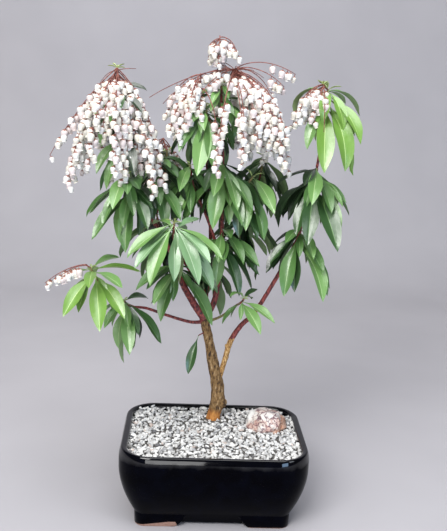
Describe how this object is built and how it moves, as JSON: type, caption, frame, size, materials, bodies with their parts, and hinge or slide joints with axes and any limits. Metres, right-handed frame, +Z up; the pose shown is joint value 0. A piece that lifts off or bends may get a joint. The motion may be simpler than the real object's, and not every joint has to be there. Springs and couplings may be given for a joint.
{
  "type": "flowering bonsai in a pot",
  "caption": "Mountain pieris bonsai in an oblong glazed pot: a leaning trunk, forked boughs, whorls of narrow drooping leaves and hanging panicles of white bells.",
  "frame": {"origin": "on the surface that the pot stands on, under the middle of the whole outline", "axes": "+Z up, -Y towards the side that the plant is shown from, +X to the right as seen from there"},
  "size_m": [0.3278, 0.187, 0.508],
  "materials": {
    "glaze": "glossy",
    "gravel": "rough",
    "stone": "satin",
    "bark": "rough",
    "young_bark": "satin",
    "leaf": "satin",
    "bright_leaf": "satin",
    "pale_leaf": "satin",
    "blossom": "satin"
  },
  "bodies": {
    "root": {"pot": "glaze", "gravel": "gravel", "ornamental_stone": "stone", "trunk": "bark", "bough_right": "young_bark", "bough_right_middle": "young_bark", "bough_right_upper": "young_bark", "bough_centre": "young_bark", "bough_centre_middle": "young_bark", "bough_centre_upper": "young_bark", "bough_left": "young_bark", "bough_front_left": "young_bark", "bough_left_middle": "young_bark", "bough_inner_left": "young_bark", "bough_low_left": "young_bark", "bough_low_right": "young_bark", "bough_back": "young_bark", "bough_back_upper": "young_bark", "bough_back_right": "young_bark", "bough_back_left": "young_bark", "leaves_right_low": "leaf", "leaves_right_middle": "leaf", "leaves_centre_low": "leaf", "leaves_centre_right": "leaf", "leaves_centre_middle": "leaf", "leaves_centre_high": "leaf", "leaves_centre_top": "leaf", "leaves_left_inner": "leaf", "leaves_left_side": "leaf", "leaves_left_low": "leaf", "leaves_left_top": "leaf", "leaves_inner_left": "leaf", "leaves_low_left": "leaf", "leaves_low_right": "leaf", "leaf_on_trunk": "leaf", "leaves_back_low": "leaf", "leaves_back_high": "leaf", "leaves_back_right": "leaf", "leaves_back_right_high": "leaf", "leaves_back_left": "leaf", "leaves_back_left_high": "leaf", "leaves_right_top": "bright_leaf", "leaves_low_left_tip": "bright_leaf", "leaves_front_left": "pale_leaf", "blossom_left": "blossom", "blossom_low_left": "blossom", "blossom_centre": "blossom", "blossom_top": "blossom", "blossom_centre_left": "blossom", "blossom_right": "blossom", "blossom_back": "blossom", "blossom_back_left": "blossom"}
  },
  "joints": []
}
